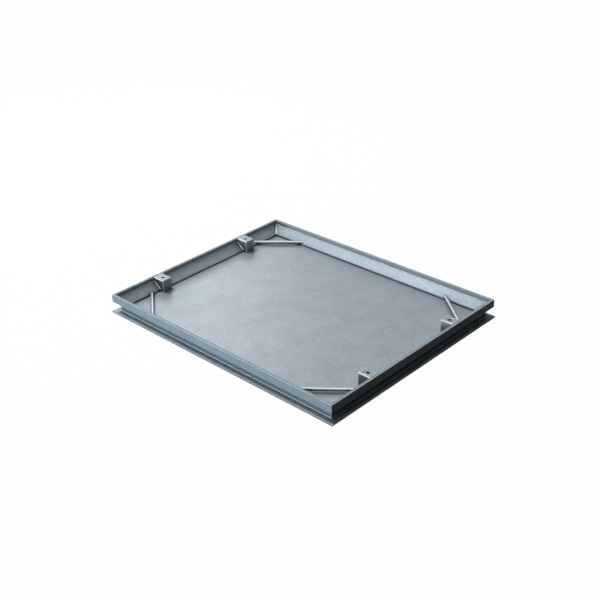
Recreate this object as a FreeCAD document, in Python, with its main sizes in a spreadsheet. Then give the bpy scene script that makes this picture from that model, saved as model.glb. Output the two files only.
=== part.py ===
import FreeCAD, Part
import os
import re

import Sketcher

# Recessed paving cover: a shallow steel tray, to be filled with block paving, resting in its frame.
# Millimetres, +Z up. The origin is the middle of the frame's base, on the ground it stands on.
# X runs along the long side, Y along the short one. Front is -Y, right is +X.

Vector = FreeCAD.Vector

# Driving dimensions: alias, value, meaning.
SIZES = [
    ("overall_length", "700", "frame over its base flange, along X"),
    ("overall_width", "550", "frame over its base flange, along Y"),
    ("overall_height", "46", "ground to the top of frame and tray"),
    ("frame_gauge", "3", "sheet thickness of the frame section"),
    ("frame_bend", "2", "inside bend radius of the frame section"),
    ("flange_proud", "3", "base flange beyond the face of the lip"),
    ("lip_drop", "19", "height of the lip's outer face"),
    ("web_recess", "13", "face of the lip to the outer face of the web"),
    ("wall_slope", "38", "fall of the seat and of the tray's wall, in degrees"),
    ("tray_gauge", "2.5", "sheet thickness of the tray's sides"),
    ("tray_bend", "2", "inside bend radius of the tray's sides"),
    ("rim_seam", "1", "clearance between the lip and the tray's rim band"),
    ("rim_depth", "10", "height of the tray's upright rim band"),
    ("tray_depth", "31", "rim down to the face of the floor plate"),
    ("wall_foot", "4", "height of the upright foot below the sloping wall"),
    ("floor_gauge", "3", "thickness of the floor plate"),
    ("seal_width", "10", "width of the seal strip along the seat"),
    ("seal_setback", "2.5", "seal strip's upper edge from the back of the lip"),
    ("weld_gap", "0.2", "root gap of a welded joint"),
    ("box_spacing", "275", "distance between the two lifting boxes of one side"),
    ("box_gauge", "2", "sheet thickness of the lifting box"),
    ("box_edge", "2.5", "outside radius of the lifting box's folds"),
    ("box_side_flat", "1.5", "flat of the box's top from the socket's hole to the fold of each cheek"),
    ("box_front_flat", "4", "flat of the box's top from the socket's hole to the front fold"),
    ("socket_reach", "17", "rim band to the axis of the lifting socket"),
    ("socket_clearance", "1", "height from the tray's wall to the lower end of the lifting socket"),
    ("spigot_diameter", "18", "socket where it stands in the top of its box"),
    ("spigot_clearance", "0.5", "radial clearance round the spigot"),
    ("shoulder_step", "1.5", "socket's body beyond its spigot, all round"),
    ("bore_diameter", "8.5", "core diameter of the lifting thread"),
    ("spigot_chamfer", "1", "chamfer at the top of the spigot"),
    ("mouth_chamfer", "2.2", "countersink at the mouth of the lifting thread"),
    ("bar_diameter", "8", "corner bar"),
    ("bar_lift", "3", "clear height below a corner bar"),
    ("bar_run_long", "147", "corner bar's line along the long side, from the lip's corner"),
    ("bar_run_short", "117", "corner bar's line along the short side, from the lip's corner"),
]

# Derived lines of the two sections, measured from the outer edge of the base flange inwards, and upwards.
LIP_BACK = "(flange_proud + frame_gauge)"
LIP_FOOT = "(overall_height - lip_drop)"
WEB_FACE = "(flange_proud + web_recess)"
WEB_BACK = f"({WEB_FACE} + frame_gauge)"
BAND_BACK = f"({LIP_BACK} + rim_seam)"
BAND_FACE = f"({BAND_BACK} + tray_gauge)"
CREASE = "(overall_height - rim_depth)"
FLOOR_TOP = "(overall_height - tray_depth)"
FOOT_TOP = f"({FLOOR_TOP} + wall_foot)"
FOOT_FACE = f"({BAND_FACE} + ({CREASE} - {FOOT_TOP}) / tan(wall_slope))"
FOOT_BACK = f"({FOOT_FACE} - tray_gauge)"
HOLE_RADIUS = "(spigot_diameter / 2 + spigot_clearance)"
BOX_WIDTH = f"(2 * ({HOLE_RADIUS} + box_side_flat + box_edge))"
BOX_FRONT = f"({BAND_FACE} + socket_reach + {HOLE_RADIUS} + box_front_flat + box_edge)"
BOX_CEILING = "(overall_height - box_gauge)"
BAR_AXIS = f"({FLOOR_TOP} + bar_lift + bar_diameter / 2)"

# Long enough to cut right through the section or the height.
CUT_REACH = "(overall_width / 4)"
CUT_HEIGHT = "(4 * overall_height)"

# Quarter turns that bring a piece modelled for the front (-Y) to each side of the cover.
SIDES = {"front": 0, "right": 90, "back": 180, "left": 270}

# Signs of X and Y at each side, for what stands there without a turn.
SIGNS = {"left": "-1", "right": "1", "front": "-1", "back": "1"}

# Two lengths closer than this are the same one.
SAME_LENGTH = 0.001


def seat_under(inward):
    """Height of the seat's underside at a distance inward from the flange's edge."""
    return f"({LIP_FOOT} - ({inward} - flange_proud) * tan(wall_slope))"


def seat_top(inward):
    """Height of the seat's upper face."""
    return f"({seat_under(inward)} + frame_gauge / cos(wall_slope))"


def wall_top(inward):
    """Height of the tray wall's upper face."""
    return f"({CREASE} - ({inward} - {BAND_FACE}) * tan(wall_slope))"


def wall_under(inward):
    """Height of the tray wall's underside."""
    return f"({wall_top(inward)} - tray_gauge / cos(wall_slope))"


def wall_clear(inward):
    """Height of a line that keeps the weld's root gap above the tray wall's upper face."""
    return f"({wall_top(inward)} + weld_gap / cos(wall_slope))"


def bend_middle(inward):
    """Height of the plane that halves the bend between the tray's rim band and its wall."""
    return f"({CREASE} + ({inward} - {BAND_FACE}) * tan((90 - wall_slope) / 2))"


doc = FreeCAD.newDocument("paving_cover")
sheet = doc.addObject("Spreadsheet::Sheet", "sizes")
for row, (alias, value, meaning) in enumerate(SIZES, start=1):
    sheet.set(f"A{row}", alias)
    sheet.set(f"B{row}", value)
    sheet.set(f"C{row}", meaning)
    sheet.setAlias(f"B{row}", alias)
doc.recompute()

ALIASES = {alias for alias, _, _ in SIZES}
parts = []


def formula(text):
    """The text with every alias written as a reference to the sheet."""
    return re.sub(r"[a-z_]+", lambda word: f"sizes.{word[0]}" if word[0] in ALIASES else word[0], text)


def number(text):
    """The present value of a formula, as a plain number."""
    result = sheet.evalExpression(formula(text))
    return float(getattr(result, "Value", result))


def bind(target, path, text):
    """Tie a property of an object to the sheet."""
    target.setExpression(path, formula(text))


def plane(body, role):
    """One of the body's own origin planes."""
    return next(feature for feature in body.Origin.OriginFeatures if feature.Role == role)


def new_body(label):
    """An empty body that becomes one piece of the cover."""
    body = doc.addObject("PartDesign::Body", label)
    body.Label = label
    parts.append(body)
    return body


def new_sketch(body, name, role, shift=None):
    """A sketch on an origin plane, moved along its own first or second axis by a formula."""
    sketch = body.newObject("Sketcher::SketchObject", f"{body.Label}_{name}")
    sketch.AttachmentSupport = [(plane(body, role), "")]
    sketch.MapMode = "FlatFace"
    if shift:
        bind(sketch, f"AttachmentOffset.Base.{shift[0]}", shift[1])
    return sketch


def draw_outline(sketch, corners):
    """A closed outline whose corners, each a pair of formulas, are all tied to the sheet."""
    points = [Vector(number(across), number(up), 0) for across, up in corners]
    count = len(points)
    for index, point in enumerate(points):
        sketch.addGeometry(Part.LineSegment(point, points[(index + 1) % count]))
    for index, (across, up) in enumerate(corners):
        following = (index + 1) % count
        sketch.addConstraint(Sketcher.Constraint("Coincident", index, 2, following, 1))
        for kind, text, at in (("DistanceX", across, points[index].x), ("DistanceY", up, points[index].y)):
            tie = sketch.addConstraint(Sketcher.Constraint(kind, -1, 1, index, 1, at))
            bind(sketch, f"Constraints[{tie}]", text)


def draw_circle(sketch, diameter, up):
    """A circle on the sketch's second axis."""
    centre = Vector(0, number(up), 0)
    sketch.addGeometry(Part.Circle(centre, Vector(0, 0, 1), number(diameter) / 2))
    sketch.addConstraint(Sketcher.Constraint("PointOnObject", 0, 3, -2))
    height = sketch.addConstraint(Sketcher.Constraint("DistanceY", -1, 1, 0, 3, centre.y))
    bind(sketch, f"Constraints[{height}]", up)
    width = sketch.addConstraint(Sketcher.Constraint("Diameter", 0, number(diameter)))
    bind(sketch, f"Constraints[{width}]", diameter)


def extrude(body, kind, sketch, length):
    """A Pad or Pocket, half to each side of its sketch."""
    before = body.Shape.Volume if body.Tip and not body.Shape.isNull() else 0
    feature = body.newObject(f"PartDesign::{kind}", f"{sketch.Name}_{kind.lower()}")
    feature.Profile = sketch
    feature.Midplane = True
    bind(feature, "Length", length)
    doc.recompute()
    change = feature.Shape.Volume - before
    if (kind == "Pad") != (change > 0) or change == 0:
        raise RuntimeError(f"{feature.Name} changes the volume by {change:.3f}")
    return feature


def round_off(body, base, edges, radius):
    """A Fillet on the chosen edges of the base feature."""
    if not edges:
        raise RuntimeError(f"{body.Label}: no edge to round off")
    feature = body.newObject("PartDesign::Fillet", f"{base.Name}_fillet")
    feature.Base = (base, edges)
    bind(feature, "Radius", radius)
    doc.recompute()
    return feature


def straight_edges(feature, test):
    """Names of the straight edges whose two ends pass the test."""
    names = []
    for index, edge in enumerate(feature.Shape.Edges, start=1):
        ends = [vertex.Point for vertex in edge.Vertexes]
        if len(ends) == 2 and edge.Curve.TypeId == "Part::GeomLine" and test(*ends):
            names.append(f"Edge{index}")
    return names


def near(first, second):
    """Two lengths agree."""
    return abs(first - second) < SAME_LENGTH


def edges_along(feature, edge_line, corners):
    """Edges along X that pass through the given corners of a section, which starts at edge_line."""
    wanted = [(number(edge_line) + number(across), number(up)) for across, up in corners]

    def runs_through(start, end):
        return near(start.y, end.y) and near(start.z, end.z) and any(
            near(start.y, y) and near(start.z, z) for y, z in wanted)

    return straight_edges(feature, runs_through)


def folds_between(feature, front, top):
    """The three kinds of fold of a box whose front and top lie at these places: front, upright and inward."""

    def is_fold(start, end):
        on_front = near(start.y, front) and near(end.y, front)
        on_top = near(start.z, top) and near(end.z, top)
        upright = near(start.x, end.x) and near(start.y, end.y)
        inward = near(start.x, end.x) and near(start.z, end.z)
        return (on_front and on_top) or (on_front and upright) or (on_top and inward)

    return straight_edges(feature, is_fold)


def turn(body, side, shift=None):
    """Bring a piece modelled for the front to its side, moved along that side by a formula."""
    body.Placement = FreeCAD.Placement(Vector(0, 0, 0), FreeCAD.Rotation(Vector(0, 0, 1), SIDES[side]))
    if shift:
        bind(body, f"Placement.Base.{shift[0]}", shift[1])


def spans(side):
    """The side's own length, and the overall size across it."""
    if side in ("front", "back"):
        return "overall_length", "overall_width"
    return "overall_width", "overall_length"


def mitred_section(label, side, corners, inner_bends=(), outer_bends=(), gauge="", bend="", offcut=()):
    """A length of section with a mitre at both ends, on one side of the cover.

    It has bends if it is rolled, and loses the part of its section that the offcut's outline covers.
    """
    along, across = spans(side)
    edge_line = f"-{across} / 2"
    body = new_body(label)
    section = new_sketch(body, "section", "YZ_Plane", ("x", edge_line))
    draw_outline(section, corners)
    feature = extrude(body, "Pad", section, along)
    if bend:
        inner = edges_along(feature, edge_line, [corners[index] for index in inner_bends])
        feature = round_off(body, feature, inner, bend)
        outer = edges_along(feature, edge_line, [corners[index] for index in outer_bends])
        feature = round_off(body, feature, outer, f"{bend} + {gauge}")
    if offcut:
        waste = new_sketch(body, "offcut", "YZ_Plane", ("x", edge_line))
        draw_outline(waste, offcut)
        extrude(body, "Pocket", waste, f"2 * {along}")
    mitre = new_sketch(body, "mitre", "XY_Plane", ("y", edge_line))
    draw_outline(mitre, [
        (f"{along} / 2", "0"),
        (f"{along} / 2", CUT_REACH),
        (f"{along} / 2 - {CUT_REACH}", CUT_REACH),
    ])
    cut = extrude(body, "Pocket", mitre, CUT_HEIGHT)
    both = body.newObject("PartDesign::Mirrored", f"{label}_both_mitres")
    both.Originals = [cut]
    both.MirrorPlane = (plane(body, "YZ_Plane"), [""])
    body.Tip = both
    turn(body, side)


def frame_rail(side):
    """One rail of the frame: flange, web, sloping seat and down-turned lip."""
    corners = [
        ("0", "0"),
        ("0", "frame_gauge"),
        (WEB_FACE, "frame_gauge"),
        (WEB_FACE, seat_under(WEB_FACE)),
        ("flange_proud", LIP_FOOT),
        ("flange_proud", "overall_height"),
        (LIP_BACK, "overall_height"),
        (LIP_BACK, seat_top(LIP_BACK)),
        (WEB_BACK, seat_top(WEB_BACK)),
        (WEB_BACK, "0"),
    ]
    mitred_section(f"frame_rail_{side}", side, corners, (2, 3, 7), (4, 8, 9), "frame_gauge", "frame_bend")


def tray_side(side):
    """One side of the tray in two pieces that meet halfway round its bend: rim band, and wall with foot."""
    corners = [
        (BAND_BACK, wall_under(BAND_BACK)),
        (BAND_BACK, "overall_height"),
        (BAND_FACE, "overall_height"),
        (BAND_FACE, CREASE),
        (FOOT_FACE, FOOT_TOP),
        (FOOT_FACE, FLOOR_TOP),
        (FOOT_BACK, FLOOR_TOP),
        (FOOT_BACK, wall_under(FOOT_BACK)),
    ]
    for label, waste_end in (("tray_band", "0"), ("tray_wall", CUT_HEIGHT)):
        offcut = [
            ("0", bend_middle("0")),
            (CUT_REACH, bend_middle(CUT_REACH)),
            (CUT_REACH, waste_end),
            ("0", waste_end),
        ]
        mitred_section(f"{label}_{side}", side, corners, (3, 7), (0, 4), "tray_gauge", "tray_bend", offcut)


def seal_strip(side):
    """One strip of seal: it fills the space between the seat and the underside of the tray's wall."""
    start = f"({LIP_BACK} + seal_setback)"
    end = f"({start} + seal_width * cos(wall_slope))"
    lean = f"(({wall_under(start)} - {seat_top(start)}) * cos(wall_slope) * sin(wall_slope))"
    rise = f"(({wall_under(start)} - {seat_top(start)}) * cos(wall_slope) * cos(wall_slope))"
    corners = [
        (start, seat_top(start)),
        (f"{start} + {lean}", f"{seat_top(start)} + {rise}"),
        (f"{end} + {lean}", f"{seat_top(end)} + {rise}"),
        (end, seat_top(end)),
    ]
    mitred_section(f"seal_{side}", side, corners)


def tray_floor():
    """The floor plate, flush with the backs of the four feet that stand on it."""
    body = new_body("tray_floor")
    outline = new_sketch(body, "outline", "XY_Plane", ("z", f"{FLOOR_TOP} - floor_gauge / 2"))
    half_long = f"(overall_length / 2 - {FOOT_BACK})"
    half_short = f"(overall_width / 2 - {FOOT_BACK})"
    draw_outline(outline, [
        (f"-{half_long}", f"-{half_short}"),
        (half_long, f"-{half_short}"),
        (half_long, half_short),
        (f"-{half_long}", half_short),
    ])
    extrude(body, "Pad", outline, "floor_gauge")


def lifting_box(end, side):
    """A folded box on a short side: top plate, front plate and two cheeks that follow the tray's wall."""
    edge_line = "-overall_length / 2"
    body = new_body(f"lifting_box_{end}_{side}")
    back = f"({BAND_FACE} + weld_gap)"
    foot = f"({FOOT_FACE} + weld_gap)"
    sole = f"({FLOOR_TOP} + weld_gap)"
    cheek = new_sketch(body, "cheek", "YZ_Plane", ("x", edge_line))
    draw_outline(cheek, [
        (back, "overall_height"),
        (BOX_FRONT, "overall_height"),
        (BOX_FRONT, sole),
        (foot, sole),
        (foot, wall_clear(foot)),
        (back, wall_clear(back)),
    ])
    block = extrude(body, "Pad", cheek, BOX_WIDTH)
    crook = edges_along(block, edge_line, [(back, wall_clear(back))])
    relieved = round_off(body, block, crook, "tray_bend")

    front = number(edge_line) + number(BOX_FRONT)
    top = number("overall_height")
    round_off(body, relieved, folds_between(relieved, front, top), "box_edge")
    cavity = new_sketch(body, "cavity", "YZ_Plane", ("x", edge_line))
    cavity_front = f"({BOX_FRONT} - box_gauge)"
    draw_outline(cavity, [
        ("0", "0"),
        (cavity_front, "0"),
        (cavity_front, BOX_CEILING),
        ("0", BOX_CEILING),
    ])
    extrude(body, "Pocket", cavity, f"{BOX_WIDTH} - 2 * box_gauge")
    hole = new_sketch(body, "socket_hole", "XY_Plane", ("y", edge_line))
    draw_circle(hole, f"2 * {HOLE_RADIUS}", f"{BAND_FACE} + socket_reach")
    extrude(body, "Pocket", hole, CUT_HEIGHT)
    turn(body, side, ("y", f"{SIGNS[end]} * box_spacing / 2"))


def lifting_socket(end, side):
    """A turned socket: its spigot fills the hole in the box's top, its shoulder is welded below the plate."""
    body = new_body(f"lifting_socket_{end}_{side}")
    profile = new_sketch(body, "profile", "XZ_Plane")
    bore = "(bore_diameter / 2)"
    spigot = "(spigot_diameter / 2)"
    shoulder = f"({spigot} + shoulder_step)"
    nearest_wall = f"({BAND_FACE} + socket_reach - {shoulder})"
    bottom = f"({wall_top(nearest_wall)} + socket_clearance)"
    draw_outline(profile, [
        (bore, bottom),
        (shoulder, bottom),
        (shoulder, BOX_CEILING),
        (spigot, BOX_CEILING),
        (spigot, "overall_height - spigot_chamfer"),
        (f"{spigot} - spigot_chamfer", "overall_height"),
        (f"{bore} + mouth_chamfer", "overall_height"),
        (bore, "overall_height - mouth_chamfer"),
    ])
    turned = body.newObject("PartDesign::Revolution", f"{body.Label}_turned")
    turned.Profile = profile
    turned.ReferenceAxis = (profile, ["V_Axis"])
    turned.Angle = 360
    bind(body, "Placement.Base.x", f"{SIGNS[side]} * (overall_length / 2 - {BAND_FACE} - socket_reach)")
    bind(body, "Placement.Base.y", f"{SIGNS[end]} * box_spacing / 2")


def corner_bar(end, side, trough):
    """A round bar across one corner of the tray, trimmed to the slope of the two walls."""
    rod = doc.addObject("Part::Cylinder", f"rod_{end}_{side}")
    length = "sqrt(bar_run_long * bar_run_long + bar_run_short * bar_run_short)"
    bind(rod, "Radius", "bar_diameter / 2")
    bind(rod, "Height", length)
    middle_x = f"{SIGNS[side]} * (overall_length / 2 - flange_proud - bar_run_long / 2)"
    middle_y = f"{SIGNS[end]} * (overall_width / 2 - flange_proud - bar_run_short / 2)"
    swing = f"-1 * {SIGNS[side]} * {SIGNS[end]} * atan(bar_run_short / bar_run_long)"
    centred = f"placement(vector({middle_x}; {middle_y}; {BAR_AXIS}); rotation(vector(0; 0; 1); {swing}))"
    laid = f"placement(vector(-1 * {length} / 2; 0; 0); rotation(vector(0; 1; 0); 90))"
    bind(rod, "Placement", f"{centred} * {laid}")
    bar = doc.addObject("Part::Common", f"corner_bar_{end}_{side}")
    bar.Label = f"corner_bar_{end}_{side}"
    bar.Base = rod
    bar.Tool = trough
    parts.append(bar)


def tray_trough():
    """The space inside the four sloping walls, drawn in by the weld's root gap, to trim the bars with."""
    trough = doc.addObject("Part::Wedge", "trough")
    gap = "weld_gap / sin(wall_slope)"
    low = f"({BAND_FACE} + ({CREASE} - {FLOOR_TOP}) / tan(wall_slope) + {gap})"
    high = f"({BAND_FACE} + {gap})"
    bind(trough, "Ymin", FLOOR_TOP)
    bind(trough, "Ymax", CREASE)
    for prefix, inward in (("", low), ("2", high)):
        bind(trough, f"X{prefix}min", f"-(overall_length / 2 - {inward})")
        bind(trough, f"X{prefix}max", f"overall_length / 2 - {inward}")
        bind(trough, f"Z{prefix}min", f"-(overall_width / 2 - {inward})")
        bind(trough, f"Z{prefix}max", f"overall_width / 2 - {inward}")
    trough.Placement = FreeCAD.Placement(Vector(0, 0, 0), FreeCAD.Rotation(Vector(1, 0, 0), 90))
    return trough


def check_document():
    """Stop if any object failed, or any piece is empty or broken."""
    doc.recompute()
    for item in doc.Objects:
        if "Invalid" in item.State or "Error" in item.State:
            raise RuntimeError(f"{item.Label} failed: {item.State}")
    for piece in parts:
        if piece.Shape.isNull() or not piece.Shape.isValid() or len(piece.Shape.Solids) != 1:
            raise RuntimeError(f"{piece.Label} is not one sound solid")


for side_name in SIDES:
    frame_rail(side_name)
    seal_strip(side_name)
    tray_side(side_name)
tray_floor()
bar_trough = tray_trough()
for side_name in ("left", "right"):
    for end_name in ("front", "back"):
        lifting_box(end_name, side_name)
        lifting_socket(end_name, side_name)
        corner_bar(end_name, side_name, bar_trough)
check_document()

os.makedirs("parts", exist_ok=True)
for piece in parts:
    piece.Shape.exportStep(os.path.join("parts", f"{piece.Label}.step"))
    print(f"{piece.Label}: {piece.Shape.Volume / 1000:.2f} cm3")
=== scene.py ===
"""Looks of a recessed paving cover: a shallow galvanised tray that rests in its mitred frame.

Every length is in metres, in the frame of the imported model. The origin is the middle of the
frame's base on the ground, X runs along the long side, Y along the short side towards the back,
and Z points up out of the tray.
"""

import logging
import math
from dataclasses import dataclass
from enum import Enum
from typing import ClassVar

import bmesh
import bpy
from mathutils import Matrix, Vector

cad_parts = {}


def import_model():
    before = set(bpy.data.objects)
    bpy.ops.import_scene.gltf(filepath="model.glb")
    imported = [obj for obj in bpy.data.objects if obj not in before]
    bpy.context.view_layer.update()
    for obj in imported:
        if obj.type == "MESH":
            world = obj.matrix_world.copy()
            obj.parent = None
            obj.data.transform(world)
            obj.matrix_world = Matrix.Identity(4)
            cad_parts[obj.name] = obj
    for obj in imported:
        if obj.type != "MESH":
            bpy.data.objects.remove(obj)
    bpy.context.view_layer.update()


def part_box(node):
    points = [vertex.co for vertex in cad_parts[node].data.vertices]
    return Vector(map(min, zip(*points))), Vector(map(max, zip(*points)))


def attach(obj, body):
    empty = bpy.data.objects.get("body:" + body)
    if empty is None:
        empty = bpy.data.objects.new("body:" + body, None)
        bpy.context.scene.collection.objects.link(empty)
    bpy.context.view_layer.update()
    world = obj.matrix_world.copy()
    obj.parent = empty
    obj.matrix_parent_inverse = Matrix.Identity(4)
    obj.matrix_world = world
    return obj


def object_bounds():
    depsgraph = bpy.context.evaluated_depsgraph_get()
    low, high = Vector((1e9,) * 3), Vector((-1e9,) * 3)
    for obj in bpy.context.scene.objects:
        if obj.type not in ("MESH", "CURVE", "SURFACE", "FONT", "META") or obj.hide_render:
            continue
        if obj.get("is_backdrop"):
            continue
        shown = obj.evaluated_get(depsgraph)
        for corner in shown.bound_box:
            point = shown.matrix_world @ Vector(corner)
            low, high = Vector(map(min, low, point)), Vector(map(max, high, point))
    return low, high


LOG = logging.getLogger("paving_cover")
MM = 0.001
BODY = "root"
WHITE = (1.0, 1.0, 1.0, 1.0)


class Side(Enum):
    """The four sides of the cover, as the model's nodes name them."""

    FRONT = "front"
    RIGHT = "right"
    BACK = "back"
    LEFT = "left"


class Corner(Enum):
    """The four corners of the cover, with the signs of X and Y there."""

    FRONT_LEFT = (-1, -1)
    FRONT_RIGHT = (1, -1)
    BACK_RIGHT = (1, 1)
    BACK_LEFT = (-1, 1)

    @property
    def label(self) -> str:
        """The corner's name in the model's nodes."""
        return self.name.lower()


class Slot(Enum):
    """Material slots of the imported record."""

    FRAME = "frame_steel"
    TRAY = "tray_steel"
    FLOOR = "floor_steel"
    BOX = "box_steel"
    SOCKET = "socket_steel"
    BAR = "bar_steel"
    SEAL = "seal_rubber"


def linear(colour: str) -> tuple[float, float, float, float]:
    """Turn an sRGB hex colour into linear light, by the standard's own formula.

    Args:
        colour: six hex digits after a hash sign.

    Returns:
        Red, green, blue and an alpha of 1.
    """
    parts = [int(colour[i:i + 2], 16) / 255 for i in (1, 3, 5)]
    red, green, blue = (
        c / 12.92 if c <= 0.04045 else ((c + 0.055) / 1.055) ** 2.4 for c in parts)
    return red, green, blue, 1.0


def add_node(tree: bpy.types.NodeTree, kind: str, inputs: dict[str | int, object] | None = None,
             **settings: object) -> bpy.types.Node:
    """Add a shader node with its settings and links.

    Args:
        tree: the node tree that gets the node.
        kind: type name of the node.
        inputs: a value or an output socket for each input, by name or number.
        settings: the node's own properties.

    Returns:
        The new node.
    """
    node = tree.nodes.new(kind)
    for name, value in settings.items():
        setattr(node, name, value)
    for key, value in (inputs or {}).items():
        if isinstance(value, bpy.types.NodeSocket):
            tree.links.new(value, node.inputs[key])
        else:
            node.inputs[key].default_value = value
    return node


def new_material(name: str) -> tuple[bpy.types.Material, bpy.types.NodeTree]:
    """Start an empty node material.

    Args:
        name: the material's name.

    Returns:
        The material and its node tree.
    """
    material = bpy.data.materials.new(name)
    material.use_nodes = True
    material.node_tree.nodes.clear()
    return material, material.node_tree


@dataclass(frozen=True)
class ZincFinish:
    """Steel under a zinc coat: crystals, cloudy mottling, fine grain, painted highlights and
    shade.

    Lengths are in millimetres. Contrast is how far the crystals, the clouds and the grain swing
    the tone, which runs from shade through body to bloom. Shade is painted into the coat, greying
    it towards the colour grime where a recess closes in on it, most where only recess_full of the
    open air is left, and level_unshaded says how much of that painted shade is left off a level
    face.
    Highlights are painted in the colour edge along the edges by edge_highlight, and on a piece
    with upright and level faces by fold_highlight on the bends between them.
    """

    # The outlines of the crystals are feathered: ripples across one, and their share of its size.
    FEATHER_RIPPLES: ClassVar[float] = 1.4
    FEATHER_SHARE: ClassVar[float] = 0.5
    # Cosine between the rounded normal and the face's own where the painted highlight starts and
    # where it is full.
    GLINT: ClassVar[tuple[float, float]] = (0.995, 0.86)
    # Height of the normal where painted shade starts to be left off a face and where most of it
    # is.
    LEVEL_TILT: ClassVar[tuple[float, float]] = (0.7, 1.0)
    # Longest part of the normal along one axis where a bend starts and where its painted highlight
    # is strongest.
    BEND: ClassVar[tuple[float, float]] = (0.985, 0.9)
    # Tone of the roughest and of the smoothest coat.
    SMOOTHING: ClassVar[tuple[float, float]] = (0.2, 0.8)
    # Depth of the relief, and how much of it the crystals have beside the grain.
    RELIEF_DEPTH: ClassVar[float] = 0.1
    CRYSTAL_RELIEF: ClassVar[float] = 0.5

    name: str
    shade: str
    body: str
    bloom: str
    # Colour of the painted highlight on edges and bends.
    edge: str
    spangle: float = 7.0
    clouds: float = 90.0
    # The grain of real zinc is too fine to show, so it is drawn as coarse as it needs to be.
    grain: float = 1.6
    spangle_contrast: float = 0.35
    cloud_contrast: float = 0.9
    grain_contrast: float = 0.35
    roughness: float = 0.45
    roughness_swing: float = 0.08
    metallic: float = 0.0
    shine: float = 0.25
    relief: float = 0.12
    # edge_round also rounds the normal; edge_highlight is the strength of the painted edge
    # highlight.
    edge_round: float = 0.5
    edge_highlight: float = 0.8
    # Painted shade in recesses: how far a recess reaches, its share, where it is full, its colour
    # grime, and how much level_unshaded leaves off level faces.
    recess: float = 18.0
    recess_share: float = 0.6
    recess_full: float = 0.3
    shade_paint: str = "#3d454a"
    level_unshaded: float = 0.0
    # Strength of the painted highlight on the bends.
    fold_highlight: float = 0.0

    def crystals(self, tree: bpy.types.NodeTree,
                 place: bpy.types.NodeSocket) -> bpy.types.NodeOutputs:
        """Draw the zinc crystals.

        Args:
            tree: the material's node tree.
            place: where on the piece a point lies.

        Returns:
            Three outputs, Red, Green and Blue, each at random from 0 to 1 for a crystal.
        """
        size = self.spangle * MM
        stray = add_node(tree, "ShaderNodeTexNoise", {
            "Vector": place, "Scale": self.FEATHER_RIPPLES / size, "Detail": 2.0})
        push = add_node(tree, "ShaderNodeVectorMath", {
            0: stray.outputs["Color"], 1: (0.5, 0.5, 0.5)}, operation="SUBTRACT")
        feathered = add_node(tree, "ShaderNodeVectorMath", {
            0: push.outputs["Vector"], 1: (self.FEATHER_SHARE * size,) * 3, 2: place},
            operation="MULTIPLY_ADD")
        cells = add_node(tree, "ShaderNodeTexVoronoi", {
            "Vector": feathered.outputs["Vector"], "Scale": 1 / size})
        split = add_node(tree, "ShaderNodeSeparateColor", {"Color": cells.outputs["Color"]})
        return split.outputs

    def paint_shade(self, tree: bpy.types.NodeTree,
             normal: bpy.types.NodeOutputs) -> bpy.types.NodeSocket:
        """Find where shade is painted: in recesses, with less of it on level faces.

        Args:
            tree: the material's node tree.
            normal: the size of the face's normal along X, Y and Z.

        Returns:
            How much of the painted shade shows.
        """
        open_air = add_node(
            tree, "ShaderNodeAmbientOcclusion", {"Distance": self.recess * MM}, samples=8)
        closed = add_node(tree, "ShaderNodeMapRange", {
            "Value": open_air.outputs["AO"], "From Min": 1.0, "From Max": self.recess_full,
            "To Min": 0.0, "To Max": self.recess_share})
        shade_left = add_node(tree, "ShaderNodeMapRange", {
            "Value": normal["Z"], "From Min": self.LEVEL_TILT[0], "From Max": self.LEVEL_TILT[1],
            "To Min": 1.0, "To Max": 1.0 - self.level_unshaded})
        shade_amount = add_node(tree, "ShaderNodeMath", {
            0: closed.outputs["Result"], 1: shade_left.outputs["Result"]}, operation="MULTIPLY")
        return shade_amount.outputs[0]

    def paint_highlight(self, tree: bpy.types.NodeTree, turned: bpy.types.NodeSocket,
                normal: bpy.types.NodeOutputs) -> bpy.types.NodeSocket:
        """Find where highlights are painted: along its edges and on its bends.

        Args:
            tree: the material's node tree.
            turned: cosine between the rounded normal and the face's own.
            normal: the size of the face's normal along X, Y and Z.

        Returns:
            How much of the painted highlight colour shows.
        """
        edge_glint = add_node(tree, "ShaderNodeMapRange", {
            "Value": turned, "From Min": self.GLINT[0], "From Max": self.GLINT[1],
            "To Min": 0.0, "To Max": self.edge_highlight})
        upright = add_node(
            tree, "ShaderNodeMath", {0: normal["X"], 1: normal["Y"]}, operation="MAXIMUM")
        squarest = add_node(
            tree, "ShaderNodeMath", {0: upright.outputs[0], 1: normal["Z"]}, operation="MAXIMUM")
        fold_glint = add_node(tree, "ShaderNodeMapRange", {
            "Value": squarest.outputs[0], "From Min": self.BEND[0], "From Max": self.BEND[1],
            "To Min": 0.0, "To Max": self.fold_highlight})
        bright = add_node(tree, "ShaderNodeMath", {
            0: edge_glint.outputs["Result"], 1: fold_glint.outputs["Result"]}, operation="MAXIMUM")
        return bright.outputs[0]

    def material(self) -> bpy.types.Material:
        """Make the material.

        Returns:
            A node material on the piece's object coordinates.
        """
        material, tree = new_material(self.name)
        place = add_node(tree, "ShaderNodeTexCoord").outputs["Object"]
        crystal = self.crystals(tree, place)
        cloud = add_node(tree, "ShaderNodeTexNoise", {
            "Vector": place, "Scale": 1 / (self.clouds * MM), "Detail": 4.0, "Roughness": 0.6})
        grain = add_node(tree, "ShaderNodeTexNoise", {
            "Vector": place, "Scale": 1 / (self.grain * MM), "Detail": 3.0, "Roughness": 0.65})

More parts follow.
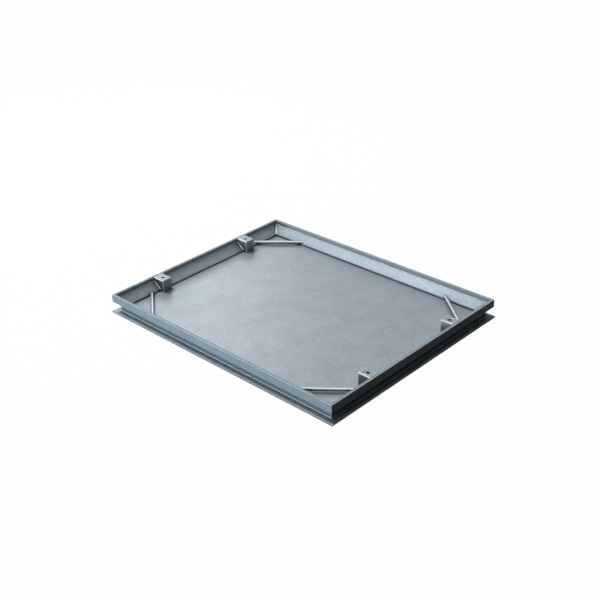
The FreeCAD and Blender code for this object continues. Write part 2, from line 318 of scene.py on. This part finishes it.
        # Each pattern swings about its middle, and so the tone about the middle of its ramp.
        swings = ((crystal["Red"], self.spangle_contrast),
                  (cloud.outputs["Fac"], self.cloud_contrast),
                  (grain.outputs["Fac"], self.grain_contrast))
        tone = 0.5 - 0.5 * sum(contrast for _, contrast in swings)
        for source, contrast in swings:
            tone = add_node(tree, "ShaderNodeMath", {0: source, 1: contrast, 2: tone},
                            operation="MULTIPLY_ADD").outputs[0]
        ramp = add_node(tree, "ShaderNodeValToRGB", {"Fac": tone})
        stops = ramp.color_ramp.elements
        stops[0].color = linear(self.shade)
        stops[1].color = linear(self.bloom)
        stops.new(0.5).color = linear(self.body)

        rounded = add_node(
            tree, "ShaderNodeBevel", {"Radius": self.edge_round * MM}, samples=6)
        face = add_node(tree, "ShaderNodeNewGeometry")
        agree = add_node(tree, "ShaderNodeVectorMath", {
            0: rounded.outputs["Normal"], 1: face.outputs["Normal"]}, operation="DOT_PRODUCT")
        size = add_node(
            tree, "ShaderNodeVectorMath", {0: face.outputs["True Normal"]}, operation="ABSOLUTE")
        normal = add_node(
            tree, "ShaderNodeSeparateXYZ", {"Vector": size.outputs["Vector"]}).outputs
        # Painted shade: the tone greys towards grime in recesses.
        shaded_tone = add_node(tree, "ShaderNodeMix", {
            "Factor": self.paint_shade(tree, normal), "A": ramp.outputs["Color"],
            "B": linear(self.shade_paint)}, data_type="RGBA")
        # Painted highlight over it along edges and bends.
        colour = add_node(tree, "ShaderNodeMix", {
            "Factor": self.paint_highlight(tree, agree.outputs["Value"], normal),
            "A": shaded_tone.outputs["Result"], "B": linear(self.edge)}, data_type="RGBA")

        rough = add_node(tree, "ShaderNodeMapRange", {
            "Value": tone, "From Min": self.SMOOTHING[0], "From Max": self.SMOOTHING[1],
            "To Min": self.roughness + self.roughness_swing,
            "To Max": self.roughness - self.roughness_swing})
        height = add_node(tree, "ShaderNodeMath", {
            0: crystal["Green"], 1: self.CRYSTAL_RELIEF, 2: grain.outputs["Fac"]},
            operation="MULTIPLY_ADD")
        bump = add_node(tree, "ShaderNodeBump", {
            "Strength": self.relief, "Distance": self.RELIEF_DEPTH * MM,
            "Height": height.outputs[0], "Normal": rounded.outputs["Normal"]})
        surface = add_node(tree, "ShaderNodeBsdfPrincipled", {
            "Base Color": colour.outputs["Result"], "Metallic": self.metallic,
            "Roughness": rough.outputs["Result"], "Specular IOR Level": self.shine,
            "Normal": bump.outputs["Normal"]})
        add_node(tree, "ShaderNodeOutputMaterial", {"Surface": surface.outputs["BSDF"]})
        return material


@dataclass(frozen=True)
class RubberFinish:
    """Closed-cell rubber, matt and near black, with the pin-holes of its foam.

    Lengths are in millimetres.
    """

    name: str
    body: str
    bloom: str
    cell: float = 0.8
    cell_depth: float = 0.2
    relief: float = 0.4
    roughness: float = 0.85
    shine: float = 0.3

    def material(self) -> bpy.types.Material:
        """Make the material.

        Returns:
            A node material on the piece's object coordinates.
        """
        material, tree = new_material(self.name)
        place = add_node(tree, "ShaderNodeTexCoord").outputs["Object"]
        cells = add_node(
            tree, "ShaderNodeTexVoronoi", {"Vector": place, "Scale": 1 / (self.cell * MM)})
        colour = add_node(tree, "ShaderNodeMix", {
            "Factor": cells.outputs["Distance"], "A": linear(self.body), "B": linear(self.bloom)},
            data_type="RGBA")
        bump = add_node(tree, "ShaderNodeBump", {
            "Strength": self.relief, "Distance": self.cell_depth * MM,
            "Height": cells.outputs["Distance"]})
        surface = add_node(tree, "ShaderNodeBsdfPrincipled", {
            "Base Color": colour.outputs["Result"], "Roughness": self.roughness,
            "Specular IOR Level": self.shine, "Normal": bump.outputs["Normal"]})
        add_node(tree, "ShaderNodeOutputMaterial", {"Surface": surface.outputs["BSDF"]})
        return material


FINISHES = {
    # Heavy section dipped after welding: a thick, dull coat, bluish, with soft clouds and hardly
    # any crystals. Highlights are painted along its edges and bends, and shade is painted in its
    # recesses under the lip but left off its level faces.
    Slot.FRAME: ZincFinish(
        "hot-dip galvanised steel section", "#94a2ac", "#a8b5be", "#b8c4cc", "#f0f4f6",
        spangle_contrast=0.2, cloud_contrast=0.5, shine=0.1, edge_round=1.4, edge_highlight=1.0,
        recess=24.0, recess_share=0.95, recess_full=0.4, level_unshaded=0.9, fold_highlight=0.8),
    # Rolled galvanised sheet: fine crystals that speckle the walls, and enough bare metal in its
    # look that a wall shines or darkens with the light that it mirrors. Shade is painted dark at
    # the walls' foot and corners, and highlights along its edges and creases.
    Slot.TRAY: ZincFinish(
        "galvanised steel sheet, rolled", "#7a878e", "#8e9ba3", "#a3b0b8", "#dfe6ea",
        spangle=1.8, spangle_contrast=0.5, cloud_contrast=0.25, grain_contrast=0.5,
        roughness=0.48, roughness_swing=0.03, metallic=0.3, shine=0.2, relief=0.05,
        edge_round=1.8, recess=45.0, recess_share=0.9, recess_full=0.42, shade_paint="#1d2224"),
    # Flat galvanised plate: smoother than the walls, with wide clouds on its plain face, painted
    # highlights on its edges and painted shadow near the walls and boxes.
    Slot.FLOOR: ZincFinish(
        "galvanised steel plate", "#7e8a93", "#8f9aa3", "#a0abb3", "#e2e8ec",
        spangle=3.0, clouds=55.0, cloud_contrast=0.8, roughness=0.38, roughness_swing=0.03,
        metallic=0.3, shine=0.5, relief=0.0, recess_share=0.45),
    # Folded galvanised sheet: dull faces, with painted highlights on its edges and folds, and
    # painted shade in its recesses that is left off its top.
    Slot.BOX: ZincFinish(
        "galvanised steel sheet, folded", "#8f9ca4", "#a2aeb6", "#b6c1c8", "#eef2f4",
        spangle=2.5, cloud_contrast=0.35, roughness=0.36, edge_round=0.9, recess=30.0,
        recess_share=0.9, recess_full=0.4, shade_paint="#2e3436", level_unshaded=0.85, fold_highlight=0.9),
    # Turned steel with bright zinc plating: a crisp ring with painted highlights on its edges,
    # and painted shade that darkens the bore.
    Slot.SOCKET: ZincFinish(
        "zinc-plated turned steel", "#98a3aa", "#b0bac0", "#cdd5da", "#f2f5f6",
        spangle=3.0, clouds=20.0, roughness=0.22, metallic=0.5, shine=0.3, edge_round=0.4,
        edge_highlight=1.0, recess=9.0, recess_share=1.0, recess_full=0.5, shade_paint="#0d0f10"),
    # Drawn round bar, dipped: smooth enough to carry one bright line along its top, with painted
    # shade that darkens its underside.
    Slot.BAR: ZincFinish(
        "galvanised drawn steel bar", "#98a3a9", "#a1acb2", "#aab5ba", "#e8edf0",
        spangle=4.0, spangle_contrast=0.1, cloud_contrast=0.3, grain_contrast=0.15,
        roughness=0.24, roughness_swing=0.02, metallic=0.75, shine=0.5, relief=0.0,
        edge_round=0.1, edge_highlight=0.0, recess=16.0, recess_share=1.0, recess_full=0.5,
        shade_paint="#0c0f10"),
    # Closed-cell rubber strip: only its shadowed edge shows in the seam.
    Slot.SEAL: RubberFinish("closed-cell rubber", "#0d0d0f", "#1a1a1d"),
}
# The upright rim band of the tray's sheet, which the folding rolls left dull, with painted
# highlights on its edges and painted shade in its recesses.
BAND_FINISH = ZincFinish(
    "galvanised steel sheet, dulled by the rolls", "#7f8b93", "#929ea6", "#a4b0b7", "#dfe6ea",
    spangle=2.5, cloud_contrast=0.35, shine=0.15, edge_round=0.7, recess_share=0.4)
# Weld metal under zinc: rougher than the sheet beside it, pale, with painted highlights where
# its ripples turn and a little painted shade in its hollows.
WELD_FINISH = ZincFinish(
    "galvanised weld metal", "#9aa5ac", "#c0cacf", "#dde3e7", "#eef2f4",
    spangle=1.5, clouds=8.0, grain=0.6, roughness=0.35, metallic=0.25, shine=0.5,
    relief=0.3, recess_share=0.1)
# The thin fillets at the bars' ends: the same metal, duller under more zinc, with painted
# highlights on their ripples and painted shade where they meet bar and wall.
TACK_FINISH = ZincFinish(
    "galvanised tack weld", "#7f8a91", "#98a3a9", "#b4bfc5", "#d0d8dc",
    spangle=1.5, clouds=8.0, grain=0.6, metallic=0.25, relief=0.3, recess_share=0.4)


def coat(names: list[str], material: bpy.types.Material) -> None:
    """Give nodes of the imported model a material.

    Args:
        names: the nodes.
        material: what all their slots get.
    """
    for name in names:
        node = bpy.data.objects[name]
        if not node.material_slots:
            node.data.materials.append(material)
        for slot in node.material_slots:
            slot.material = material
        LOG.info("dressed %s in %s", name, material.name)


def deselect() -> None:
    """Leave nothing selected, so that the next operator acts on its own piece only."""
    bpy.ops.object.select_all(action="DESELECT")


def finish_weld(piece: bpy.types.Object, metal: bpy.types.Material) -> None:
    """Fix a weld's place in its mesh, give it its metal and let it ride on the cover.

    Args:
        piece: the weld.
        metal: the weld's material.
    """
    deselect()
    piece.select_set(True)
    bpy.context.view_layer.objects.active = piece
    bpy.ops.object.transform_apply(location=True, rotation=True, scale=True)
    piece.data.materials.clear()
    piece.data.materials.append(metal)
    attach(piece, BODY)
    LOG.info("laid %s", piece.name)


def soften(piece: bpy.types.Object) -> None:
    """Subdivide a piece once, apply that and shade it smooth.

    Args:
        piece: the active object, which alone is selected.
    """
    smooth = piece.modifiers.new("smooth", "SUBSURF")
    smooth.levels = smooth.render_levels = 1
    bpy.ops.object.modifier_apply(modifier=smooth.name)
    bpy.ops.object.shade_smooth()


def repeat(first: bpy.types.Object, names: list[str]) -> list[bpy.types.Object]:
    """Copy a piece, each copy with a mesh of its own.

    Args:
        first: the piece that was modelled.
        names: the names of all the pieces, the first one among them.

    Returns:
        The first piece and its copies.
    """
    pieces = [first]
    for _ in names[1:]:
        piece = first.copy()
        piece.data = first.data.copy()
        bpy.context.scene.collection.objects.link(piece)
        pieces.append(piece)
    for piece, name in zip(pieces, names):
        piece.name = piece.data.name = name
    return pieces


@dataclass(frozen=True)
class Ripples:
    """The ripples of a weld, one for each touch of the arc: crests and valleys by turns.

    Crest is the swing of the weld's radius from a valley to the crest beside it, and stray is how
    far the ripples differ from each other.
    """

    # Turn in radians from one section to the next of the wave that makes the ripples differ.
    BEAT: ClassVar[float] = 2.3
    # Share of the step between two sections within which a point belongs to one of them.
    REACH: ClassVar[float] = 0.2

    crest: float
    stray: float

    def swell(self, index: int) -> float:
        """The factor on the radius of the section with this number."""
        wave = self.crest * (0.5 if index % 2 else -0.5)
        return 1 + wave + self.stray * math.sin(self.BEAT * index)


@dataclass(frozen=True)
class WeldBead:
    """A run of weld metal: a round, rippled bead, sunk into the joint that it closes.

    Tips are the factors that draw in the outermost sections at both ends.
    """

    # An edge that spans more than this share of the bead's length runs along it.
    LENGTHWISE: ClassVar[float] = 0.9

    length: float
    radius: float
    pitch: float = 1.5 * MM
    ripples: Ripples = Ripples(crest=0.16, stray=0.08)
    tips: tuple[float, ...] = (0.45, 0.85)
    facets: int = 10

    def model(self) -> bpy.types.Object:
        """Model the bead along X about the origin.

        Returns:
            The bead, with its ends drawn in.
        """
        deselect()
        bpy.ops.mesh.primitive_cylinder_add(
            vertices=self.facets, radius=self.radius, depth=self.length,
            rotation=(0, math.pi / 2, 0))
        bead = bpy.context.object
        bpy.ops.object.transform_apply(location=True, rotation=True, scale=True)
        bpy.ops.object.mode_set(mode="EDIT")
        bpy.ops.mesh.select_all(action="DESELECT")
        shape = bmesh.from_edit_mesh(bead.data)
        bpy.ops.mesh.select_mode(type="EDGE")
        for edge in shape.edges:
            along = edge.verts[0].co - edge.verts[1].co
            edge.select_set(abs(along.x) > self.LENGTHWISE * self.length)
        bmesh.update_edit_mesh(bead.data)
        steps = max(2 * len(self.tips), 2 * round(self.length / self.pitch))
        bpy.ops.mesh.subdivide(number_cuts=steps - 1)
        bpy.ops.mesh.select_mode(type="VERT")
        reach = self.ripples.REACH * self.length / steps
        for index in range(steps + 1):
            at = self.length * (index / steps - 0.5)
            shape = bmesh.from_edit_mesh(bead.data)
            for vert in shape.verts:
                vert.select_set(abs(vert.co.x - at) < reach)
            bmesh.update_edit_mesh(bead.data)
            swell = self.ripples.swell(index)
            from_end = min(index, steps - index)
            if from_end < len(self.tips):
                swell *= self.tips[from_end]
            bpy.ops.transform.resize(value=(1, swell, swell), center_override=(at, 0, 0))
        bpy.ops.object.mode_set(mode="OBJECT")
        soften(bead)
        return bead

    def lay(self, name: str, runs: list[tuple[Vector, Vector]],
            metal: bpy.types.Material) -> None:
        """Model the bead once and lay a copy along each run.

        Args:
            name: stem of the copies' names.
            runs: the two ends of each run.
            metal: the weld's material.
        """
        names = [f"{name}_{index}" for index in range(1, len(runs) + 1)]
        for piece, (start, end) in zip(repeat(self.model(), names), runs):
            run = end - start
            turn = run.to_track_quat("X", "Z").to_matrix().to_4x4()
            stretch = Matrix.Diagonal((run.length / self.length, 1, 1, 1))
            piece.matrix_world = Matrix.Translation((start + end) / 2) @ turn @ stretch
            finish_weld(piece, metal)


@dataclass(frozen=True)
class WeldRing:
    """A ring of weld metal round a bar's end: a thin fillet, rippled all the way round.

    Inner is the bar's radius, which the middle of the fillet follows, and radius is the fillet's
    own. There is a ripple for each touch of the arc.
    """

    inner: float
    radius: float
    touches: int = 18
    ripples: Ripples = Ripples(crest=0.3, stray=0.1)
    facets: int = 8

    def model(self) -> bpy.types.Object:
        """Model the ring about the origin, flat on the ground.

        Returns:
            The ring.
        """
        sections = 2 * self.touches
        step = 2 * math.pi / sections
        reach = self.ripples.REACH * step * self.inner
        deselect()
        bpy.ops.mesh.primitive_torus_add(
            major_segments=sections, minor_segments=self.facets,
            major_radius=self.inner, minor_radius=self.radius)
        ring = bpy.context.object
        bpy.ops.object.mode_set(mode="EDIT")
        bpy.ops.mesh.select_mode(type="VERT")
        for index in range(sections):
            out = Vector((math.cos(index * step), math.sin(index * step), 0))
            shape = bmesh.from_edit_mesh(ring.data)
            for vert in shape.verts:
                aside = abs(vert.co.cross(out).z)
                vert.select_set(vert.co.dot(out) > 0 and aside < reach)
            bmesh.update_edit_mesh(ring.data)
            swell = self.ripples.swell(index)
            bpy.ops.transform.resize(
                value=(swell, swell, swell), center_override=out * self.inner)
        bpy.ops.object.mode_set(mode="OBJECT")
        soften(ring)
        return ring


@dataclass(frozen=True)
class WallFaces:
    """The inner faces of the tray's four sloping walls, from the rim band's crease to the foot."""

    gauge: float = 2.5 * MM
    crease: float = 36 * MM
    foot: float = 4 * MM
    slope: float = math.radians(38)

    @property
    def foot_top(self) -> float:
        """Height at which the slope meets the upright foot."""
        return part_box("tray_floor")[1].z + self.foot

    def spot(self, corner: Corner, height: float) -> Vector:
        """The point where two walls meet at a height.

        Args:
            corner: the tray's corner.
            height: height above the ground.

        Returns:
            The point on the mitre line of the inner faces.
        """
        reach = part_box("tray_band_right")[1].x - self.gauge
        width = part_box("tray_band_back")[1].y - self.gauge
        inset = (self.crease - height) / math.tan(self.slope)
        sx, sy = corner.value
        return Vector((sx * (reach - inset), sy * (width - inset), height))


@dataclass(frozen=True)
class SteelFrame:
    """The frame: four mitred rails, and the seal strips on their seats."""

    def dress(self) -> None:
        """Give rails and seals their finishes."""
        coat([f"frame_rail_{side.value}" for side in Side], FINISHES[Slot.FRAME].material())
        coat([f"seal_{side.value}" for side in Side], FINISHES[Slot.SEAL].material())


@dataclass(frozen=True)
class Tray:
    """The tray: four folded sides welded at their mitres, on a flat floor plate."""

    bead_radius: float = 2.4 * MM

    def dress(self) -> None:
        """Give the sides and the floor their finishes."""
        coat([f"tray_wall_{side.value}" for side in Side], FINISHES[Slot.TRAY].material())
        coat([f"tray_band_{side.value}" for side in Side], BAND_FINISH.material())
        coat(["tray_floor"], FINISHES[Slot.FLOOR].material())

    def weld(self, walls: WallFaces, metal: bpy.types.Material) -> None:
        """Lay a bead down each inner mitre of the sloping walls.

        Args:
            walls: the inner faces that the beads follow.
            metal: the weld's material.
        """
        runs = [(walls.spot(corner, walls.crease), walls.spot(corner, walls.foot_top))
                for corner in Corner]
        bead = WeldBead(length=(runs[0][1] - runs[0][0]).length, radius=self.bead_radius)
        bead.lay("mitre_weld", runs, metal)


@dataclass(frozen=True)
class LiftingPoints:
    """Four folded boxes against the short sides, each with a turned socket in its top."""

    bead_radius: float = 2.4 * MM

    def dress(self) -> None:
        """Give boxes and sockets their finishes."""
        coat([f"lifting_box_{corner.label}" for corner in Corner], FINISHES[Slot.BOX].material())
        coat([f"lifting_socket_{corner.label}" for corner in Corner],
             FINISHES[Slot.SOCKET].material())

    def weld(self, walls: WallFaces, metal: bpy.types.Material) -> None:
        """Lay a bead up the wall along each cheek of each box.

        Args:
            walls: the inner faces that the beads follow.
            metal: the weld's material.
        """
        runs = []
        for corner in Corner:
            top, foot = walls.spot(corner, walls.crease), walls.spot(corner, walls.foot_top)
            low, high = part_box(f"lifting_box_{corner.label}")
            for cheek in (low.y, high.y):
                runs.append((Vector((top.x, cheek, top.z)), Vector((foot.x, cheek, foot.z))))
        bead = WeldBead(length=(runs[0][1] - runs[0][0]).length, radius=self.bead_radius)
        bead.lay("cheek_weld", runs, metal)


@dataclass(frozen=True)
class CornerBars:
    """Four round bars, one across each corner of the tray, with a ring of weld at each end.

    The bars' lines run from one side of the frame's lip to the other, as far from its corner as
    run_long and run_short say.
    """

    run_long: float = 147 * MM
    run_short: float = 117 * MM
    lip_inset: float = 3 * MM
    fillet: float = 0.5 * MM

    def dress(self) -> None:
        """Give the bars their finish."""
        coat([f"corner_bar_{corner.label}" for corner in Corner], FINISHES[Slot.BAR].material())

    def ends(self, corner: Corner, walls: WallFaces, lip: Vector,
             level: float) -> tuple[tuple[Vector, Vector], ...]:
        """Find where the middle line of a bar meets the slope of the two walls.

        Args:
            corner: the bar's corner.
            walls: the inner faces that the bar ends on.
            lip: how far the frame's lip reaches in X and in Y.
            level: height of the bar's middle line.

        Returns:
            The end on the short side and the one on the long side, each with its wall's normal.
        """
        sx, sy = corner.value
        meeting = walls.spot(corner, level)
        short = 1 - (lip.x - abs(meeting.x)) / self.run_long
        long = 1 - (lip.y - abs(meeting.y)) / self.run_short
        sink, rise = math.sin(walls.slope), math.cos(walls.slope)
        return (
            (Vector((meeting.x, sy * (lip.y - short * self.run_short), level)),
             Vector((-sx * sink, 0, rise))),
            (Vector((sx * (lip.x - long * self.run_long), meeting.y, level)),
             Vector((0, -sy * sink, rise))))

    def weld(self, walls: WallFaces, metal: bpy.types.Material) -> None:
        """Lay a ring of weld round each end, where the bar meets the slope of the wall.

        Args:
            walls: the inner faces that the bars end on.
            metal: the weld's material.
        """
        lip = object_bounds()[1] - Vector((self.lip_inset, self.lip_inset, 0))
        low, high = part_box(f"corner_bar_{Corner.FRONT_LEFT.label}")
        level, radius = (low.z + high.z) / 2, (high.z - low.z) / 2
        names = [f"bar_weld_{corner.label}_{index}" for corner in Corner for index in (1, 2)]
        rings = iter(repeat(WeldRing(inner=radius, radius=self.fillet).model(), names))
        for corner in Corner:
            sx, sy = corner.value
            along = Vector((sx * self.run_long, -sy * self.run_short, 0)).normalized()
            for spot, face in self.ends(corner, walls, lip, level):
                ring = next(rings)
                slant = (along - along.dot(face) * face).normalized()
                turn = Matrix((slant, face.cross(slant), face)).transposed().to_4x4()
                stretch = Matrix.Diagonal((1 / abs(along.dot(face)), 1, 1, 1))
                ring.matrix_world = Matrix.Translation(spot) @ turn @ stretch
                finish_weld(ring, metal)


@dataclass(frozen=True)
class SoftBox:
    """A soft round lamp that faces the cover.

    Turn is the way to it from the cover, measured on the ground from the right towards the back,
    and height is its angle above the ground, both in degrees. Distance and size are in metres,
    and power is in watts.
    """

    name: str
    turn: float
    height: float
    distance: float
    size: float
    power: float
    colour: str

    def build(self) -> None:
        """Hang the lamp, unseen by the camera."""
        lamp = bpy.data.lights.new(self.name, "AREA")
        lamp.shape = "DISK"
        lamp.size = self.size
        lamp.energy = self.power
        lamp.color = linear(self.colour)[:3]
        body = bpy.data.objects.new(self.name, lamp)
        turn, height = math.radians(self.turn), math.radians(self.height)
        away = Vector((
            math.cos(turn) * math.cos(height), math.sin(turn) * math.cos(height),
            math.sin(height)))
        body.location = away * self.distance
        body.rotation_euler = (-away).to_track_quat("-Z", "Y").to_euler()
        body.visible_camera = False
        bpy.context.scene.collection.objects.link(body)


@dataclass(frozen=True)
class Studio:
    """Floor, surroundings and lamps of a plain product photograph.

    Shadow shares are how much of the floor's look its shadows make up, to the eye and in gloss.
    The floor's grey is what it throws back at the cover.
    """

    floor_reach: float = 12.0
    floor_grey: str = "#2c2d2e"
    floor_pale: str = "#f0f0f0"
    surround_grey: str = "#9aa0a5"
    surround_strength: float = 0.02
    shadow_share: float = 0.02
    gloss_shadow_share: float = 0.9
    lamps: tuple[SoftBox, ...] = (
        # Lights the floor plate and the back wall, and leaves the right rail's outside black.
        SoftBox("key_left", turn=188, height=58, distance=4.5, size=1.4, power=150,
                colour="#fafdff"),
        # Evens the left wall and softens the shadows of the boxes.
        SoftBox("overhead", turn=180, height=86, distance=3.0, size=2.4, power=26.7,
                colour="#fffcf8"),
        # Lights the front rail's upright faces, bluish, without reaching into the tray's foot.
        SoftBox("low_front", turn=262, height=2.3, distance=3.0, size=0.1, power=48,
                colour="#e4f5ff"),
        # Shows as a soft bright patch on the floor plate, near its left corner.
        SoftBox("fill_back_left", turn=149.5, height=30, distance=1.95, size=0.7, power=3.1,
                colour="#fcfcfc"),
    )

    def sight(self,
              tree: bpy.types.NodeTree) -> tuple[bpy.types.NodeSocket, bpy.types.NodeSocket]:
        """Two switches for what is seen: by the camera itself, and in gloss or through glass.

        Args:
            tree: the node tree that gets the switches.

        Returns:
            The outputs of both switches, each 1 for such a ray.
        """
        path = add_node(tree, "ShaderNodeLightPath")
        mirrored = add_node(tree, "ShaderNodeMath", {
            0: path.outputs["Is Glossy Ray"], 1: path.outputs["Is Transmission Ray"]},
            operation="MAXIMUM")
        return path.outputs["Is Camera Ray"], mirrored.outputs[0]

    def build_floor(self) -> None:
        """Lay a plain pale floor that keeps a faint shadow and throws little light back up."""
        deselect()
        bpy.ops.mesh.primitive_plane_add(size=self.floor_reach)
        floor = bpy.context.object
        floor.name = floor.data.name = "studio_floor"
        material, tree = new_material("matt paper floor")
        plain = add_node(tree, "ShaderNodeBsdfDiffuse", {"Color": linear(self.floor_grey)})
        pale = add_node(tree, "ShaderNodeBsdfDiffuse", {"Color": linear(self.floor_pale)})
        glow = add_node(tree, "ShaderNodeEmission", {"Color": WHITE})
        lit = add_node(tree, "ShaderNodeMixShader", {
            0: 1 - self.shadow_share, 1: pale.outputs[0], 2: glow.outputs[0]})
        gloss = add_node(tree, "ShaderNodeMixShader", {
            0: 1 - self.gloss_shadow_share, 1: pale.outputs[0], 2: glow.outputs[0]})
        straight, mirrored = self.sight(tree)
        unseen = add_node(tree, "ShaderNodeMixShader", {
            0: mirrored, 1: plain.outputs[0], 2: gloss.outputs[0]})
        mix = add_node(tree, "ShaderNodeMixShader", {
            0: straight, 1: unseen.outputs[0], 2: lit.outputs[0]})
        add_node(tree, "ShaderNodeOutputMaterial", {"Surface": mix.outputs[0]})
        floor.data.materials.append(material)
        floor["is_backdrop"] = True

    def build_surround(self) -> None:
        """Make the surroundings white to the eye and dim as a source of light."""
        world = bpy.data.worlds.new("white surround")
        world.use_nodes = True
        tree = world.node_tree
        tree.nodes.clear()
        dim = add_node(tree, "ShaderNodeBackground", {
            "Color": linear(self.surround_grey), "Strength": self.surround_strength})
        white = add_node(tree, "ShaderNodeBackground", {"Color": WHITE})
        straight, mirrored = self.sight(tree)
        seen = add_node(
            tree, "ShaderNodeMath", {0: straight, 1: mirrored}, operation="MAXIMUM")
        mix = add_node(tree, "ShaderNodeMixShader", {
            0: seen.outputs[0], 1: dim.outputs[0], 2: white.outputs[0]})
        add_node(tree, "ShaderNodeOutputWorld", {"Surface": mix.outputs[0]})
        bpy.context.scene.world = world

    def build(self) -> None:
        """Set up the whole studio, and plain colour management."""
        self.build_floor()
        self.build_surround()
        for lamp in self.lamps:
            lamp.build()
        bpy.context.scene.view_settings.view_transform = "Standard"


@dataclass(frozen=True)
class Viewpoint:
    """The camera's place and lens.

    Aim is the point at the middle of the picture, and distance is how far the camera is from it,
    in metres. Azimuth turns the view from straight at the long side towards the right, elevation
    raises it and roll leans it, in degrees. The lens is in millimetres, on a full frame.
    """

    aim: tuple[float, float, float] = (-0.0483, 0.0501, 0.0)
    azimuth: float = 45.06
    elevation: float = 28.97
    roll: float = -2.65
    distance: float = 2.433
    lens: float = 61.51

    def build(self) -> None:
        """Set up the camera and make it the scene's own."""
        turn, rise = math.radians(self.azimuth), math.radians(self.elevation)
        back = Vector((
            math.sin(turn) * math.cos(rise), -math.cos(turn) * math.cos(rise), math.sin(rise)))
        camera = bpy.data.objects.new("camera", bpy.data.cameras.new("camera"))
        camera.data.lens = self.lens
        place = Matrix.Translation(Vector(self.aim) + self.distance * back)
        upright = (-back).to_track_quat("-Z", "Y").to_matrix().to_4x4()
        lean = Matrix.Rotation(math.radians(self.roll), 4, "Z")
        camera.matrix_world = place @ upright @ lean
        bpy.context.scene.collection.objects.link(camera)
        bpy.context.scene.camera = camera


def main() -> None:
    """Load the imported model, dress it, add its welds and set up the studio."""
    logging.basicConfig(level=logging.INFO, format="%(message)s")
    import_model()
    frame, tray, lifting, bars = SteelFrame(), Tray(), LiftingPoints(), CornerBars()
    for assembly in (frame, tray, lifting, bars):
        assembly.dress()
    walls, seam, tack = WallFaces(), WELD_FINISH.material(), TACK_FINISH.material()
    for assembly, metal in ((tray, seam), (lifting, seam), (bars, tack)):
        assembly.weld(walls, metal)
    Studio().build()
    Viewpoint().build()


if __name__ == "__main__":
    main()
